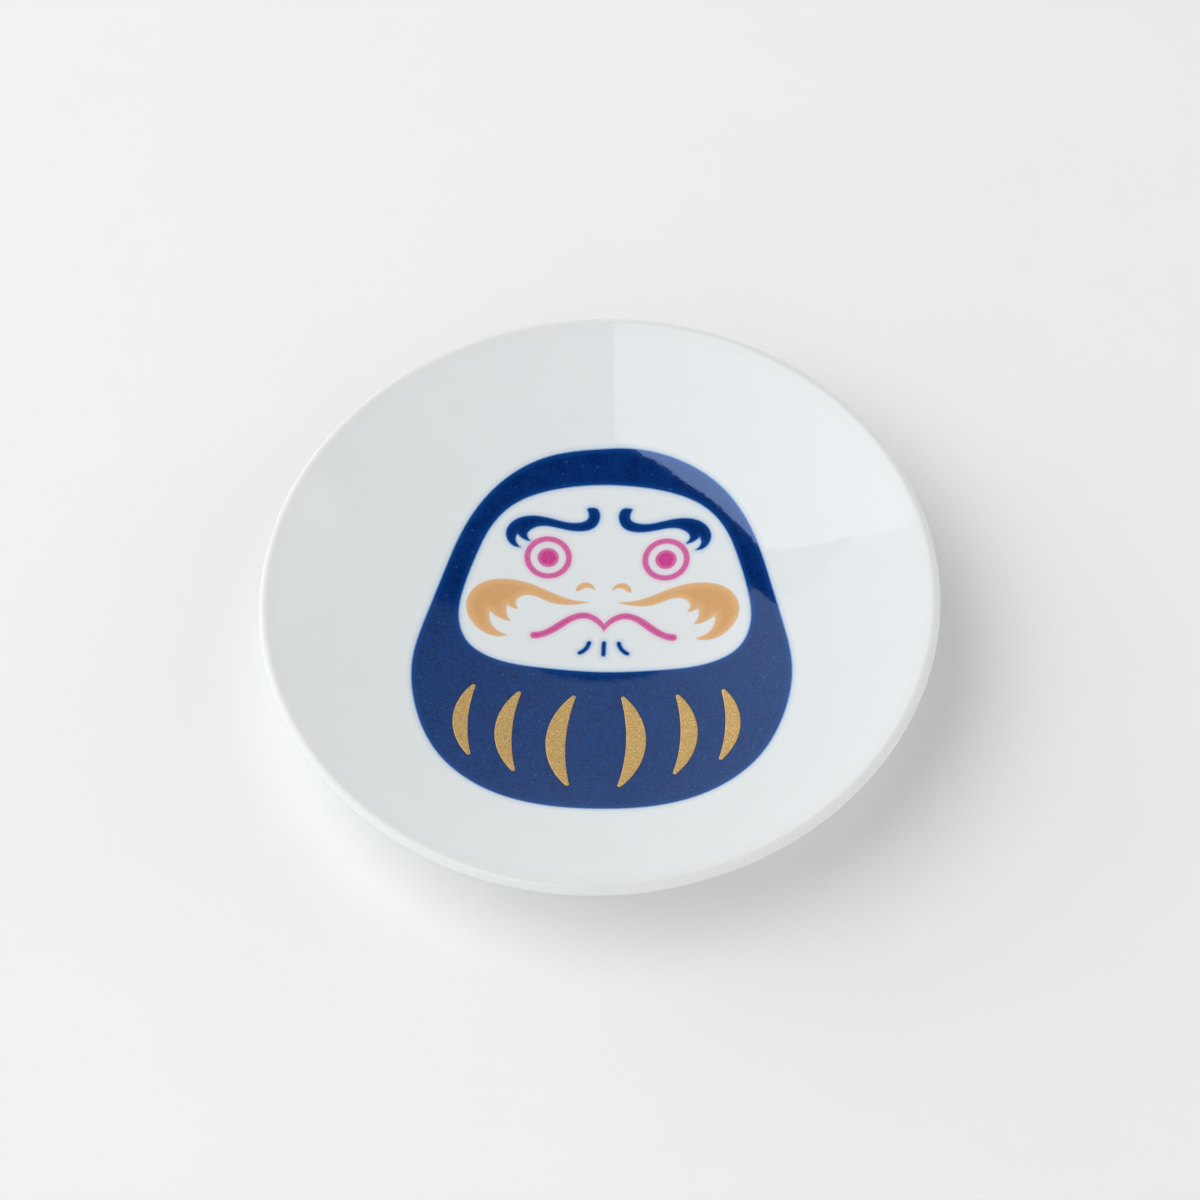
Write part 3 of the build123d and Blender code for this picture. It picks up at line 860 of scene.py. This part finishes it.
# %% Gold print
gold, tree, out = start_material("matt_fired_gold_on_glaze")
place = add_node(tree, "TexCoord").outputs["Object"]
sand = add_node(tree, "TexNoise", {"Vector": place, "Scale": per(0.22), "Detail": 2.0})
sandy = add_node(tree, "MapRange", {"Value": sand.outputs[0], "From Min": 0.36, "From Max": 0.64})
warmth = add_node(tree, "TexNoise", {"Vector": place, "Scale": per(0.5), "Detail": 1.0})
warm = add_node(tree, "MapRange", {"Value": warmth.outputs[0], "From Min": 0.4, "From Max": 0.65})
dry = add_node(tree, "Mix", {0: sandy.outputs[0], MIX_A: colour("#c1a663"), MIX_B: colour("#f2d7a2")},
               data_type="RGBA")
mixed = add_node(tree, "Mix", {0: add_node(tree, "Math", {0: warm.outputs[0], 1: 0.6},
                                           operation="MULTIPLY").outputs[0],
                               MIX_A: dry.outputs[MIX_OUT], MIX_B: colour("#dfb77a")}, data_type="RGBA")
relief = add_node(tree, "Bump", {"Strength": 1.0, "Distance": 0.012 * MM, "Height": sand.outputs[0]})
leaf = add_node(tree, "BsdfPrincipled", {
    "Base Color": mixed.outputs[MIX_OUT], "Metallic": 1.0, "Roughness": 0.7,
    "Normal": relief.outputs[0]})
tree.links.new(leaf.outputs[0], out.inputs[0])
print("gold print:", len(tree.nodes), "nodes")

# %% [markdown]
# ## Bare clay
# The wiped edge of the foot is biscuit porcelain: hard, matt and off-white, with the fine
# tooth that grips a fingernail, and a trace of grey from the kiln shelf.

# %% Bare clay
biscuit, tree, out = start_material("unglazed_biscuit_porcelain")
place = add_node(tree, "TexCoord").outputs["Object"]
tooth = add_node(tree, "TexNoise", {"Vector": place, "Scale": per(0.25), "Detail": 4.0})
smudge = add_node(tree, "TexNoise", {"Vector": place, "Scale": per(4), "Detail": 3.0})
tone = add_node(tree, "Mix", {0: smudge.outputs[0], MIX_A: colour("#d9d4c9"), MIX_B: colour("#ece8df")},
                data_type="RGBA")
relief = add_node(tree, "Bump", {"Strength": 1.0, "Distance": 0.02 * MM, "Height": tooth.outputs[0]})
clay = add_node(tree, "BsdfPrincipled", {
    "Base Color": tone.outputs[MIX_OUT], "Roughness": 0.75, "Normal": relief.outputs[0]})
tree.links.new(clay.outputs[0], out.inputs[0])
print("bare clay:", len(tree.nodes), "nodes")

# %% [markdown]
# ## Putting finishes on pieces
# Each piece takes its finish, rides on the dish's one body, and stands for its measured solid.

# %% Finishes and bodies
for piece, node, material, slot in (
        (clay_body, "porcelain_body", biscuit, "porcelain"),
        (glaze_main, "glaze_coat_main", porcelain, "clear_glaze"),
        (glaze_base, "glaze_coat_base", porcelain, "clear_glaze")):
    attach(piece, "root")
    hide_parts(node)
    piece.data.materials.append(material)
for ink, material in (("cobalt", cobalt), ("pink", pink), ("ochre", ochre), ("gold", gold)):
    for piece in pieces[ink]:
        piece.data.materials.append(material)
for name in ("to_cobalt", "to_pink", "to_ochre"):
    blank = glaze_base.data.attributes.new(name, "FLOAT", "POINT")
    blank.data.foreach_set("value", np.full(len(glaze_base.data.vertices), FAR, np.float32))

# %% [markdown]
# ## How much the box grew
# The box of the finished pieces is taken again, and its growth over the measured model's box
# is printed in millimetres.

# %% Boxes, and the end
new_box = [[float(x) for x in corner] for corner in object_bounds()]
growth = (np.array(new_box) - np.array(cad_box)) / MM
print("growth in mm:", growth.round(4).tolist())
